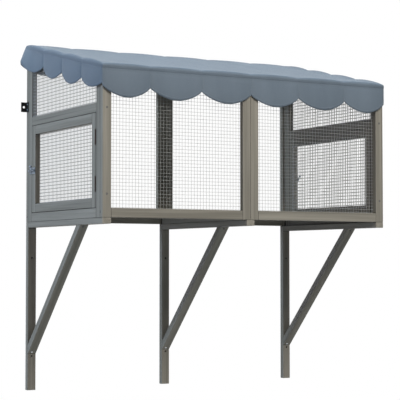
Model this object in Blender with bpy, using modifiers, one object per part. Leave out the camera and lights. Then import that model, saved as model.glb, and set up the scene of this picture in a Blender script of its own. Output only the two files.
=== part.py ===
# Window catio: a cage of planed timber and wire net that stands on three wall brackets
# outside a window. It has a door in each side and a cloth roof with a scalloped edge,
# and its back is open to the window.
#
# Metres, +Z up. The front faces -Y and the wall is the plane Y = 0. The origin lies on
# the back of the middle leg, midway between its two wall screws.

import math

import bmesh
import bpy
from mathutils import Matrix, Vector

# Fits
SEAT_GAP = 0.0003             # between two pieces that touch
CUT_OVERRUN = 0.002           # how far a cutter runs past the face it opens
SMOOTH_ANGLE = math.radians(35)

# Cage, measured over the timber
CAGE_WIDTH = 1.222
CAGE_DEPTH = 0.696
FRONT_HEIGHT = 0.543          # at the front face, under the cloth
REAR_HEIGHT = 0.700           # at the wall, under the cloth

# Timber members
MEMBER_WIDTH = 0.034
MEMBER_THICK = 0.020
ARRIS = 0.0008                # the edge that a plane takes off
SIDE_RAIL_HEIGHT = 0.376      # from the cage's bottom to the middle rail of a side
FLOOR_THICK = 0.009

# Wall brackets
BRACKET_THICK = 0.022
LEG_LENGTH = 0.658
BRACE_THICK = 0.025
BRACE_REACH = 0.452           # along the arm to the brace's inner edge
BRACE_DROP = 0.458            # down the leg to its inner edge
UPPER_SCREW_DROP = 0.141      # from the leg's top to its wall screws
LOWER_SCREW_DROP = 0.525
LEG_HOLE = 0.008
HOLE_SIDES = 12

# Wall plates
PLATE_THICK = 0.002
PLATE_HEIGHT = 0.0385
PLATE_REACH = 0.024           # along the wall, out from the post
PLATE_MIDDLE = 0.4537         # above the cage's bottom
PLATE_HOLE = 0.0095
PLATE_HOLE_OUT = 0.0125       # from the post to the hole

# Wire nets: real wire, and a coarser mesh than the real one
NET_WIRE = 0.0014
NET_LAP = 0.012               # over the timber that a net is stapled to
NET_INSET = 0.003             # of a side's upper net, behind the outer face
FRONT_NET_GAPS = (8, 7)
SIDE_NET_GAPS = (8, 3)
DOOR_NET_GAPS = (8, 4)

# Doors and their hinges
DOOR_GAP = 0.0015             # above, below and at the latch
HINGE_GAP = 0.0026            # for the two leaves of a hinge
GLUE_LAP = 0.0002             # how far a door's rail enters its stiles
HINGE_HEIGHTS = {"upper": 0.287, "lower": 0.120}
HINGE_LENGTH = 0.055
LEAF_THICK = 0.0008
LEAF_REACH = 0.016            # into the gap between door and post
KNUCKLE_COUNT = 5
KNUCKLE_RADIUS = 0.0019
PIN_RADIUS = 0.0009
PIN_HEAD = 0.0008
RUNNING_GAP = 0.0003

# Slide bolts
BOLT_HEIGHT = 0.199           # above the cage's bottom
BOLT_PLATE_LENGTH = 0.032
BOLT_PLATE_HEIGHT = 0.026
BOLT_PLATE_THICK = 0.0012
BOLT_PLATE_EDGE = 0.001       # from the plate to the door's free edge
KEEPER_LENGTH = 0.018
KEEPER_EDGE = 0.001           # from the keeper to the rear stile's edge
KEEPER_SLACK = 0.001          # round the rod, for a door that has dropped a little
GUIDE_LENGTH = 0.007
KEEPER_STRAP = 0.010
STRAP_WALL = 0.0014
ROD_RADIUS = 0.003
ROD_TAIL = 0.002
ROD_SIDES = 16
ARCH_STEPS = 8
HANDLE_RADIUS = 0.002
HANDLE_OUT = 0.012
HANDLE_UP = 0.015
KNOB_RADIUS = 0.005

# Cloth roof
CLOTH_THICK = 0.0015
CLOTH_CLEAR = 0.0035          # between the cage's sides and the hanging cloth
FRONT_SCALLOPS = 6
SIDE_SCALLOPS = 4
END_SCALLOP = 0.190           # the first and the last along the front
FRONT_CUSP_DROP = 0.076
FRONT_SCALLOP_DROP = 0.117
SIDE_CUSP_DROP = 0.070
SIDE_SCALLOP_DROP = 0.098
SCALLOP_STEPS = 6
SCALLOP_ROUNDNESS = 0.75      # power of the sine that draws a scallop
LOBE = 0.004                  # how far a scallop swells out
FLARE = 0.024                 # how far the rear corners stand out
FLARE_RUN = 0.110
ROW_DROP_SHARES = (0.0, 0.35, 0.7, 1.0)
ROW_LOBE_SHARES = (0.0, 0.5, 0.9, 1.0)
ROW_FLARE_SHARES = (0.0, 0.4, 0.75, 1.0)

# Places that follow from the sizes
HALF_WIDTH = CAGE_WIDTH / 2
FRONT_Y = -CAGE_DEPTH
BOTTOM_Z = (UPPER_SCREW_DROP + LOWER_SCREW_DROP) / 2
ROOF_SLOPE = (REAR_HEIGHT - FRONT_HEIGHT) / CAGE_DEPTH
SIDE_FRONT_Y = FRONT_Y + MEMBER_THICK + SEAT_GAP
SIDE_REAR_Y = -MEMBER_THICK - SEAT_GAP
NET_FACE_Y = FRONT_Y + MEMBER_THICK + SEAT_GAP
CABIN_FRONT_Y = NET_FACE_Y + NET_WIRE + SEAT_GAP

SIDES = {"left": -1, "right": 1}
COLOURS = {
    "timber": ((0.215, 0.213, 0.200), 0.60, 0.0),
    "wire": ((0.520, 0.530, 0.530), 0.40, 0.9),
    "cloth": ((0.140, 0.190, 0.250), 0.80, 0.0),
    "black_steel": ((0.015, 0.015, 0.016), 0.45, 0.6),
    "zinc": ((0.480, 0.490, 0.500), 0.35, 0.9),
}


def clear_scene():
    for old in list(bpy.data.objects):
        bpy.data.objects.remove(old, do_unlink=True)


def new_collection(name):
    collection = bpy.data.collections.new(name)
    bpy.context.scene.collection.children.link(collection)
    return collection


def make_material(name):
    colour, roughness, metallic = COLOURS[name]
    material = bpy.data.materials.new(name)
    material.use_nodes = True
    shader = material.node_tree.nodes["Principled BSDF"]
    shader.inputs["Base Color"].default_value = (*colour, 1)
    shader.inputs["Roughness"].default_value = roughness
    shader.inputs["Metallic"].default_value = metallic
    material.diffuse_color = (*colour, 1)
    return material


clear_scene()
PARTS = new_collection("window_catio")
CUTTERS = new_collection("cutters")
MATERIALS = {name: make_material(name) for name in COLOURS}


# Building blocks

def roof_z(y):
    # Height of the plane that the cloth lies on.
    return BOTTOM_Z + FRONT_HEIGHT + (y - FRONT_Y) * ROOF_SLOPE


def sawn_top(y):
    # Where a board ends before it is sawn along the roof.
    return roof_z(y) + CUT_OVERRUN


def sawn_low(y):
    # Where a sloping rail starts before its underside is sawn.
    return roof_z(y) - MEMBER_WIDTH - CUT_OVERRUN


def roof_cut():
    return (Vector((0, FRONT_Y, roof_z(FRONT_Y))), Vector((0, -ROOF_SLOPE, 1)))


def add_part(name, bm, material, origin=(0, 0, 0), parent=None, smooth=False):
    # The mesh is drawn in world places, then moved so that the object's origin is its own.
    bmesh.ops.recalc_face_normals(bm, faces=bm.faces)
    bmesh.ops.translate(bm, vec=-Vector(origin), verts=bm.verts)
    mesh = bpy.data.meshes.new(name)
    bm.to_mesh(mesh)
    bm.free()
    if smooth:
        mesh.shade_smooth()
        mesh.set_sharp_from_angle(angle=SMOOTH_ANGLE)
    part = bpy.data.objects.new(name, mesh)
    part.location = origin
    if parent:
        part.parent = parent
        part.location = Vector(origin) - world_place(parent)
    PARTS.objects.link(part)
    if material:
        mesh.materials.append(MATERIALS[material])
    return part


def world_place(empty):
    place = Vector(empty.location)
    if empty.parent:
        place += world_place(empty.parent)
    return place


def add_axis(name, place, parent=None):
    # An empty on a joint's axis, which carries the pieces that move with it.
    axis = bpy.data.objects.new(name, None)
    axis.location = place
    axis.empty_display_size = MEMBER_WIDTH
    if parent:
        axis.parent = parent
        axis.location = Vector(place) - world_place(parent)
    PARTS.objects.link(axis)
    return axis


def hide_tool(tool):
    PARTS.objects.unlink(tool)
    CUTTERS.objects.link(tool)
    tool.hide_render = True
    tool.display_type = "WIRE"


def combine(part, tool, operation):
    hide_tool(tool)
    step = part.modifiers.new(tool.name, "BOOLEAN")
    step.operation = operation
    step.solver = "EXACT"
    step.object = tool


def box_mesh(low, high):
    bm = bmesh.new()
    size = Vector(high) - Vector(low)
    middle = (Vector(high) + Vector(low)) / 2
    made = bmesh.ops.create_cube(bm, size=1)["verts"]
    bmesh.ops.scale(bm, vec=size, verts=made)
    bmesh.ops.translate(bm, vec=middle, verts=made)
    return bm


def rod_mesh(start, end, radius, sides, bm=None):
    bm = bm or bmesh.new()
    start, end = Vector(start), Vector(end)
    turn = (end - start).to_track_quat("Z", "Y").to_matrix().to_4x4()
    place = Matrix.Translation((start + end) / 2) @ turn
    bmesh.ops.create_cone(bm, cap_ends=True, segments=sides, radius1=radius, radius2=radius,
                          depth=(end - start).length, matrix=place)
    return bm


def prism_mesh(outline, run):
    # A flat outline drawn out along a vector.
    bm = bmesh.new()
    face = bm.faces.new([bm.verts.new(point) for point in outline])
    drawn = bmesh.ops.extrude_face_region(bm, geom=[face])["geom"]
    moved = [item for item in drawn if isinstance(item, bmesh.types.BMVert)]
    bmesh.ops.translate(bm, vec=run, verts=moved)
    return bm


def saw(bm, place, normal):
    # Cuts off what lies on the side that the normal points to, and closes the cut.
    geometry = bm.verts[:] + bm.edges[:] + bm.faces[:]
    cut = bmesh.ops.bisect_plane(bm, geom=geometry, plane_co=place, plane_no=normal, clear_outer=True)
    rim = [item for item in cut["geom_cut"] if isinstance(item, bmesh.types.BMEdge)]
    bmesh.ops.holes_fill(bm, edges=rim)


def ease_edges(bm):
    bmesh.ops.bevel(bm, geom=bm.edges[:], offset=ARRIS, segments=1, affect="EDGES", clamp_overlap=True)


def timber(name, x_pair, y_pair, z_pair, cuts=(), parent=None):
    # A planed board between two corners, sawn by planes of a place and a normal.
    low = Vector([min(pair) for pair in (x_pair, y_pair, z_pair)])
    high = Vector([max(pair) for pair in (x_pair, y_pair, z_pair)])
    bm = box_mesh(low, high)
    for place, normal in cuts:
        saw(bm, place, normal)
    ease_edges(bm)
    return add_part(name, bm, "timber", (low + high) / 2, parent)


def net(name, corners, gaps, normal, parent=None):
    # Crossed wires between four corners: low start, low end, high start, high end.
    # The corners are the outside of the net, so the wires' middles lie half a wire in.
    low_start, low_end, high_start, high_end = [Vector(corner) for corner in corners]
    columns, rows = gaps
    bm = bmesh.new()
    bmesh.ops.create_grid(bm, x_segments=columns, y_segments=rows, size=1)
    for vert in bm.verts:
        across = (vert.co.x + 1) / 2
        up = (vert.co.y + 1) / 2
        vert.co = low_start.lerp(low_end, across).lerp(high_start.lerp(high_end, across), up)
    bm.normal_update()
    if bm.faces[:][0].normal.dot(normal) < 0:
        bmesh.ops.reverse_faces(bm, faces=bm.faces)
    middle = sum((low_start, low_end, high_start, high_end), Vector()) / len(corners)
    bmesh.ops.translate(bm, vec=-middle, verts=bm.verts)
    mesh = bpy.data.meshes.new(name)
    bm.to_mesh(mesh)
    bm.free()
    part = bpy.data.objects.new(name, mesh)
    part.location = middle - (world_place(parent) if parent else Vector())
    part.parent = parent
    PARTS.objects.link(part)
    mesh.materials.append(MATERIALS["wire"])
    wires = part.modifiers.new("wires", "WIREFRAME")
    wires.thickness = NET_WIRE
    wires.offset = 0
    wires.use_boundary = True
    wires.use_replace = True
    wires.use_even_offset = True
    return part


# Cage

def front_panel(word, side):
    # One of the two panels that stand side by side across the front.
    seam = side * SEAT_GAP / 2
    outside = side * HALF_WIDTH
    inner_edge = side * MEMBER_WIDTH
    outer_edge = outside - side * MEMBER_WIDTH
    depth = (FRONT_Y, FRONT_Y + MEMBER_THICK)
    top = sawn_top(SIDE_FRONT_Y)
    rail = (inner_edge + side * SEAT_GAP, outer_edge - side * SEAT_GAP)
    top_rail_z = BOTTOM_Z + FRONT_HEIGHT - MEMBER_WIDTH
    bottom_rail_z = BOTTOM_Z + MEMBER_WIDTH
    timber(f"front_{word}_outer_stile", (outer_edge, outside), depth, (BOTTOM_Z, top), [roof_cut()])
    timber(f"front_{word}_inner_stile", (seam, inner_edge), depth, (BOTTOM_Z, top), [roof_cut()])
    timber(f"front_{word}_top_rail", rail, depth, (top_rail_z, top), [roof_cut()])
    timber(f"front_{word}_bottom_rail", rail, depth, (BOTTOM_Z, bottom_rail_z))
    net_y = NET_FACE_Y + NET_WIRE / 2
    near = inner_edge - side * NET_LAP
    far = outer_edge + side * NET_LAP
    low = bottom_rail_z - NET_LAP
    high = top_rail_z + NET_LAP
    corners = [(near, net_y, low), (far, net_y, low), (near, net_y, high), (far, net_y, high)]
    net(f"front_{word}_net", corners, FRONT_NET_GAPS, Vector((0, -1, 0)))


def side_frame(word, side):
    outside = side * HALF_WIDTH
    across = (outside - side * MEMBER_THICK, outside)
    front_edge = SIDE_FRONT_Y + MEMBER_WIDTH
    rear_edge = SIDE_REAR_Y - MEMBER_WIDTH
    rail = (front_edge + SEAT_GAP, rear_edge - SEAT_GAP)
    middle_low = BOTTOM_Z + SIDE_RAIL_HEIGHT
    middle_high = middle_low + MEMBER_WIDTH
    ends = {"front": (SIDE_FRONT_Y, front_edge), "rear": (rear_edge, SIDE_REAR_Y)}
    for end, along in ends.items():
        timber(f"{word}_side_{end}_stile", across, along, (BOTTOM_Z, sawn_top(along[1])), [roof_cut()])
    place, normal = roof_cut()
    under_rail = (place - Vector((0, 0, MEMBER_WIDTH)), -normal)
    timber(f"{word}_side_top_rail", across, rail, (sawn_low(rail[0]), sawn_top(rail[1])),
           [roof_cut(), under_rail])
    timber(f"{word}_side_middle_rail", across, rail, (middle_low, middle_high))
    timber(f"{word}_side_bottom_rail", across, rail, (BOTTOM_Z, BOTTOM_Z + MEMBER_WIDTH))
    # The upper net is let into the opening, just behind the outer face.
    net_x = outside - side * (NET_INSET + NET_WIRE / 2)
    inset = SEAT_GAP + NET_WIRE / 2
    start, end = front_edge + inset, rear_edge - inset
    low = middle_high + inset
    high_start = roof_z(start) - MEMBER_WIDTH - inset
    high_end = roof_z(end) - MEMBER_WIDTH - inset
    corners = [(net_x, start, low), (net_x, end, low), (net_x, start, high_start), (net_x, end, high_end)]
    net(f"{word}_side_net", corners, SIDE_NET_GAPS, Vector((side, 0, 0)))


def rear_frame():
    depth = (-MEMBER_THICK, 0)
    post_edge = HALF_WIDTH - MEMBER_WIDTH
    rail = (-post_edge + SEAT_GAP, post_edge - SEAT_GAP)
    for word, side in SIDES.items():
        timber(f"rear_{word}_post", (side * post_edge, side * HALF_WIDTH), depth,
               (BOTTOM_Z, sawn_top(0)), [roof_cut()])
    top_rail_z = roof_z(-MEMBER_THICK) - MEMBER_WIDTH
    bottom_rail_z = BOTTOM_Z + MEMBER_WIDTH
    timber("rear_top_rail", rail, depth, (top_rail_z, sawn_top(0)), [roof_cut()])
    timber("rear_bottom_rail", rail, depth, (BOTTOM_Z, bottom_rail_z))
    timber("rear_middle_post", (-MEMBER_WIDTH, MEMBER_WIDTH), depth,
           (bottom_rail_z + SEAT_GAP, top_rail_z - SEAT_GAP))


def floor_and_rafter():
    depth = (CABIN_FRONT_Y, SIDE_REAR_Y)
    floor_edge = HALF_WIDTH - MEMBER_THICK - SEAT_GAP
    floor_top = BOTTOM_Z + MEMBER_WIDTH
    floor_low = floor_top - FLOOR_THICK
    timber("floor_board", (-floor_edge, floor_edge), depth, (floor_low, floor_top))
    timber("floor_joist", (-MEMBER_WIDTH / 2, MEMBER_WIDTH / 2), depth, (BOTTOM_Z, floor_low - SEAT_GAP))
    place, normal = roof_cut()
    under_rafter = (place - Vector((0, 0, MEMBER_WIDTH)), -normal)
    timber("roof_rafter", (-MEMBER_THICK / 2, MEMBER_THICK / 2), depth,
           (sawn_low(CABIN_FRONT_Y), sawn_top(SIDE_REAR_Y)), [roof_cut(), under_rafter])


# Wall brackets and plates

def bracket(word, middle_x):
    across = (middle_x - MEMBER_WIDTH / 2, middle_x + MEMBER_WIDTH / 2)
    top = BOTTOM_Z - SEAT_GAP
    leg = timber(f"{word}_leg", across, (-BRACKET_THICK, 0), (BOTTOM_Z - LEG_LENGTH, top))
    holes = bmesh.new()
    for drop in (UPPER_SCREW_DROP, LOWER_SCREW_DROP):
        height = BOTTOM_Z - drop
        rod_mesh((middle_x, -BRACKET_THICK - CUT_OVERRUN, height), (middle_x, CUT_OVERRUN, height),
                 LEG_HOLE / 2, HOLE_SIDES, holes)
    combine(leg, add_part(f"{word}_leg_holes", holes, None), "DIFFERENCE")
    leg_face = -BRACKET_THICK - SEAT_GAP
    arm_low = top - BRACKET_THICK
    timber(f"{word}_arm", across, (FRONT_Y, leg_face), (arm_low, top))
    # The brace is a bar at the slope of its inner edge, mitred to the leg and the arm.
    arm_face = arm_low - SEAT_GAP
    foot = Vector((middle_x, leg_face, arm_face - BRACE_DROP))
    head = Vector((middle_x, leg_face - BRACE_REACH, arm_face))
    run = (head - foot).normalized()
    outward = Vector((0, -run.z, run.y)) * BRACE_THICK
    half_width = Vector((MEMBER_WIDTH / 2, 0, 0))
    start = foot - run * 2 * BRACE_THICK
    end = head + run * 2 * BRACE_THICK
    outline = [start - half_width, start + half_width, start + half_width + outward,
               start - half_width + outward]
    bm = prism_mesh(outline, end - start)
    saw(bm, foot, Vector((0, 1, 0)))
    saw(bm, head, Vector((0, 0, 1)))
    ease_edges(bm)
    add_part(f"{word}_brace", bm, "timber", (foot + head) / 2)


def wall_plate(word, side):
    # A steel angle: one flange on the post's outer face, the other against the wall.
    near = side * (HALF_WIDTH + SEAT_GAP)
    folded = near + side * PLATE_THICK
    far = near + side * PLATE_REACH
    low = BOTTOM_Z + PLATE_MIDDLE - PLATE_HEIGHT / 2
    outline = [(near, -MEMBER_THICK, low), (folded, -MEMBER_THICK, low), (folded, -PLATE_THICK, low),
               (far, -PLATE_THICK, low), (far, 0, low), (near, 0, low)]
    plate = add_part(f"{word}_wall_plate", prism_mesh(outline, (0, 0, PLATE_HEIGHT)), "black_steel")
    hole_x = near + side * PLATE_HOLE_OUT
    hole_z = BOTTOM_Z + PLATE_MIDDLE
    hole = rod_mesh((hole_x, -PLATE_THICK - CUT_OVERRUN, hole_z), (hole_x, CUT_OVERRUN, hole_z),
                    PLATE_HOLE / 2, HOLE_SIDES)
    combine(plate, add_part(f"{word}_wall_plate_hole", hole, None), "DIFFERENCE")


# Doors

def door_edges():
    # The door's outline in its opening: front, rear, low and high edges.
    front = SIDE_FRONT_Y + MEMBER_WIDTH + HINGE_GAP
    rear = SIDE_REAR_Y - MEMBER_WIDTH - DOOR_GAP
    low = BOTTOM_Z + MEMBER_WIDTH + DOOR_GAP
    high = BOTTOM_Z + SIDE_RAIL_HEIGHT - DOOR_GAP
    return front, rear, low, high


def hinge_axis_place(side):
    # The pin stands just outside the faces, midway across the hinge's gap.
    front, _, low, _ = door_edges()
    return Vector((side * (HALF_WIDTH + SEAT_GAP + KNUCKLE_RADIUS), front - HINGE_GAP / 2, low))


def door(word, side, axis):
    # Two stiles with two rails glued between them, and the net on the inner side.
    front, rear, low, high = door_edges()
    inside = side * (HALF_WIDTH - MEMBER_THICK)
    across = (inside, side * HALF_WIDTH)
    window_front, window_rear = front + MEMBER_WIDTH, rear - MEMBER_WIDTH
    window_low, window_high = low + MEMBER_WIDTH, high - MEMBER_WIDTH
    rail = (window_front - GLUE_LAP, window_rear + GLUE_LAP)
    frame = timber(f"{word}_door_frame", across, (front, window_front), (low, high), parent=axis)
    boards = {"rear_stile": ((window_rear, rear), (low, high)), "top_rail": (rail, (window_high, high)),
              "bottom_rail": (rail, (low, window_low))}
    for board, (along, height) in boards.items():
        combine(frame, timber(f"{word}_door_{board}", across, along, height, parent=axis), "UNION")
    net_x = inside - side * (SEAT_GAP + NET_WIRE / 2)
    start, end = window_front - NET_LAP, window_rear + NET_LAP
    bottom, top = window_low - NET_LAP, window_high + NET_LAP
    corners = [(net_x, start, bottom), (net_x, end, bottom), (net_x, start, top), (net_x, end, top)]
    net(f"{word}_door_net", corners, DOOR_NET_GAPS, Vector((side, 0, 0)), axis)


def knuckle_span(low, index):
    # The foot and head of one knuckle of the hinge that starts at a height.
    step = HINGE_LENGTH / KNUCKLE_COUNT
    return low + index * step + RUNNING_GAP, low + (index + 1) * step - RUNNING_GAP


def leaf_outline(pin, side, low, own_knuckles, plate_y):
    # A leaf with a tongue to each of its knuckles, a little shorter than the knuckle.
    edge_x = side * (HALF_WIDTH - SEAT_GAP)
    end_x = side * (HALF_WIDTH - LEAF_REACH)
    high = low + HINGE_LENGTH
    outline = [(end_x, plate_y, low), (end_x, plate_y, high), (edge_x, plate_y, high)]
    for index in reversed(own_knuckles):
        foot, head = knuckle_span(low, index)
        outline += [(edge_x, plate_y, head - RUNNING_GAP), (pin.x, plate_y, head - RUNNING_GAP)]
        outline += [(pin.x, plate_y, foot + RUNNING_GAP), (edge_x, plate_y, foot + RUNNING_GAP)]
    return outline + [(edge_x, plate_y, low)]


def hinge_leaf(name, side, low, own_knuckles, plate_y, parent, with_pin):
    # A leaf lies in the gap, and its knuckles stand on the pin outside the door.
    pin = hinge_axis_place(side)
    origin = Vector((pin.x, pin.y, low))
    outline = leaf_outline(pin, side, low, own_knuckles, plate_y)
    leaf = add_part(name, prism_mesh(outline, (0, LEAF_THICK, 0)), "black_steel", origin, parent, True)
    barrels = bmesh.new()
    for index in own_knuckles:
        foot, head = knuckle_span(low, index)
        rod_mesh((pin.x, pin.y, foot), (pin.x, pin.y, head), KNUCKLE_RADIUS, HOLE_SIDES, barrels)
    combine(leaf, add_part(f"{name}_barrels", barrels, None, origin, parent, True), "UNION")
    radius, operation = (PIN_RADIUS, "UNION") if with_pin else (PIN_RADIUS + RUNNING_GAP, "DIFFERENCE")
    pin_mesh = rod_mesh((pin.x, pin.y, low - PIN_HEAD), (pin.x, pin.y, low + HINGE_LENGTH + PIN_HEAD),
                        radius, HOLE_SIDES)
    combine(leaf, add_part(f"{name}_pin", pin_mesh, None, origin, parent, True), operation)


def hinge(word, side, level, axis):
    front = door_edges()[0]
    low = BOTTOM_Z + HINGE_HEIGHTS[level] - HINGE_LENGTH / 2
    post_knuckles = list(range(0, KNUCKLE_COUNT, 2))
    door_knuckles = list(range(1, KNUCKLE_COUNT, 2))
    post_y = front - HINGE_GAP + SEAT_GAP
    door_y = front - SEAT_GAP - LEAF_THICK
    hinge_leaf(f"{word}_{level}_hinge_post_leaf", side, low, post_knuckles, post_y, None, True)
    hinge_leaf(f"{word}_{level}_hinge_door_leaf", side, low, door_knuckles, door_y, axis, False)


# Slide bolts

def rod_axis_out():
    # From the timber's outer face to the middle of the bolt's rod.
    return SEAT_GAP + BOLT_PLATE_THICK + RUNNING_GAP + ROD_RADIUS


def bolt_places():
    # Along Y: the door plate's ends, the rod's start and the handle, with the bolt drawn.
    plate_end = door_edges()[1] - BOLT_PLATE_EDGE
    plate_start = plate_end - BOLT_PLATE_LENGTH
    rod_start = plate_start - ROD_TAIL
    handle = plate_start + GUIDE_LENGTH + HANDLE_RADIUS + RUNNING_GAP
    return plate_start, plate_end, rod_start, handle


def strap_outline(side, y, slack):
    # A strap bent over the rod, with both its feet in the plate.
    middle_z = BOTTOM_Z + BOLT_HEIGHT
    middle_x = side * (HALF_WIDTH + rod_axis_out())
    foot_x = side * (HALF_WIDTH + SEAT_GAP + BOLT_PLATE_THICK / 2)
    inside = ROD_RADIUS + slack
    outline = []
    for radius, way in ((inside + STRAP_WALL, 1), (inside, -1)):
        outline.append((foot_x, y, middle_z - way * radius))
        for step in range(ARCH_STEPS + 1):
            turn = way * math.pi * (step / ARCH_STEPS - 1 / 2)
            bend_x = middle_x + side * radius * math.cos(turn)
            outline.append((bend_x, y, middle_z + radius * math.sin(turn)))
        outline.append((foot_x, y, middle_z + way * radius))
    return outline


def strap_plate(name, side, y_pair, straps, slack, parent=None):
    # A screwed plate with straps over the rod's way.
    middle_z = BOTTOM_Z + BOLT_HEIGHT
    near = side * (HALF_WIDTH + SEAT_GAP)
    left_x, right_x = sorted((near, near + side * BOLT_PLATE_THICK))
    low = Vector((left_x, y_pair[0], middle_z - BOLT_PLATE_HEIGHT / 2))
    high = (right_x, y_pair[1], middle_z + BOLT_PLATE_HEIGHT / 2)
    plate = add_part(name, box_mesh(low, high), "zinc", low, parent, True)
    for number, (start, length) in enumerate(straps):
        strap = prism_mesh(strap_outline(side, start, slack), (0, length, 0))
        combine(plate, add_part(f"{name}_strap_{number}", strap, None, low, parent, True), "UNION")


def slide_bolt(word, side, door_axis):
    plate_start, plate_end, rod_start, handle_y = bolt_places()
    guide = GUIDE_LENGTH - ARRIS
    guides = [(plate_start + ARRIS, guide), (plate_end - GUIDE_LENGTH, guide)]
    strap_plate(f"{word}_bolt_plate", side, (plate_start, plate_end), guides, RUNNING_GAP, door_axis)
    keeper_start = SIDE_REAR_Y - MEMBER_WIDTH + KEEPER_EDGE
    strap_start = keeper_start + (KEEPER_LENGTH - KEEPER_STRAP) / 2
    strap_plate(f"{word}_bolt_keeper", side, (keeper_start, keeper_start + KEEPER_LENGTH),
                [(strap_start, KEEPER_STRAP)], KEEPER_SLACK)
    middle = Vector((side * (HALF_WIDTH + rod_axis_out()), handle_y, BOTTOM_Z + BOLT_HEIGHT))
    axis = add_axis(f"{word}_bolt_axis", middle, door_axis)
    rod_ends = (Vector((middle.x, rod_start, middle.z)), Vector((middle.x, plate_end, middle.z)))
    rod = rod_mesh(*rod_ends, ROD_RADIUS, ROD_SIDES)
    bolt = add_part(f"{word}_bolt", rod, "zinc", middle, axis, True)
    knob_place = middle + Vector((side * HANDLE_OUT, 0, HANDLE_UP))
    handle = rod_mesh(middle, knob_place, HANDLE_RADIUS, HOLE_SIDES)
    combine(bolt, add_part(f"{word}_bolt_handle", handle, None, middle, axis, True), "UNION")
    knob = bmesh.new()
    bmesh.ops.create_uvsphere(knob, u_segments=HOLE_SIDES, v_segments=ARCH_STEPS, radius=KNOB_RADIUS,
                              matrix=Matrix.Translation(knob_place))
    combine(bolt, add_part(f"{word}_bolt_knob", knob, None, middle, axis, True), "UNION")


# Cloth roof

def scallop_stations(length, scallops, end_length):
    # Places along one edge as (distance, share of the scallop), without the edge's end.
    ends = [end_length, end_length]
    inner_count = scallops - len(ends)
    inner = (length - sum(ends)) / inner_count
    lengths = [end_length] + [inner] * inner_count + [end_length]
    start = 0
    for scallop in lengths:
        for step in range(SCALLOP_STEPS):
            share = step / SCALLOP_STEPS
            yield start + scallop * share, share
        start += scallop


def flare_at(distance):
    # Falls smoothly from 1 at a rear corner to 0 at the end of the flare.
    reach = min(distance / FLARE_RUN, 1)
    return (1 + math.cos(math.pi * reach)) / 2


def cloth_point(edge, along, share, row):
    # One point of a row of the hanging cloth, on its inner face.
    half = HALF_WIDTH + CLOTH_CLEAR
    front = FRONT_Y - CLOTH_CLEAR
    rear = SEAT_GAP
    swell = LOBE * ROW_LOBE_SHARES[row] * math.sin(math.pi * share)
    flare = FLARE * ROW_FLARE_SHARES[row]
    bulge = math.sin(math.pi * share) ** SCALLOP_ROUNDNESS
    on_side = edge in SIDES
    side_drops = (SIDE_CUSP_DROP, SIDE_SCALLOP_DROP)
    front_drops = (FRONT_CUSP_DROP, FRONT_SCALLOP_DROP)
    cusp, deep = side_drops if on_side else front_drops
    drop = (cusp + (deep - cusp) * bulge) * ROW_DROP_SHARES[row]
    if edge == "front":
        x, y = -half + along, front - swell
    elif edge == "right":
        y = front + along
        x = half + swell + flare * flare_at(rear - y)
    elif edge == "rear":
        y = rear
        x = half - along
        x += flare * (flare_at(half - x) - flare_at(half + x))
    else:
        y = rear - along
        x = -half - swell - flare * flare_at(rear - y)
    return Vector((x, y, roof_z(y) + SEAT_GAP - drop))


def cloth_roof():
    width = CAGE_WIDTH + 2 * CLOTH_CLEAR
    depth = CAGE_DEPTH + CLOTH_CLEAR + SEAT_GAP
    side_scallop = depth / SIDE_SCALLOPS
    edges = {"front": (width, FRONT_SCALLOPS, END_SCALLOP), "right": (depth, SIDE_SCALLOPS, side_scallop),
             "rear": (width, FRONT_SCALLOPS, END_SCALLOP), "left": (depth, SIDE_SCALLOPS, side_scallop)}
    bm = bmesh.new()
    rows = []
    for row in range(len(ROW_DROP_SHARES)):
        points = [cloth_point(edge, along, share, row) for edge, sizes in edges.items()
                  for along, share in scallop_stations(*sizes)]
        rows.append([bm.verts.new(point) for point in points])
    bm.faces.new(rows[0])
    for upper, lower in zip(rows, rows[1:]):
        for index in range(len(upper)):
            after = (index + 1) % len(upper)
            bm.faces.new((upper[index], lower[index], lower[after], upper[after]))
    middle = (0, FRONT_Y / 2, roof_z(FRONT_Y / 2))
    cloth = add_part("cloth_roof", bm, "cloth", middle, smooth=True)
    skin = cloth.modifiers.new("cloth", "SOLIDIFY")
    skin.thickness = CLOTH_THICK
    skin.offset = 1
    skin.use_even_offset = True


for word, side in SIDES.items():
    front_panel(word, side)
    side_frame(word, side)
    wall_plate(word, side)
    door_axis = add_axis(f"{word}_door_axis", hinge_axis_place(side))
    door(word, side, door_axis)
    for level in HINGE_HEIGHTS:
        hinge(word, side, level, door_axis)
    slide_bolt(word, side, door_axis)
rear_frame()
floor_and_rafter()
bracket_x = HALF_WIDTH - MEMBER_WIDTH / 2
for word, middle_x in {"left": -bracket_x, "middle": 0, "right": bracket_x}.items():
    bracket(word, middle_x)
cloth_roof()
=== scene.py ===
import math

import bmesh
import bpy
from mathutils import Matrix, Vector


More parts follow.
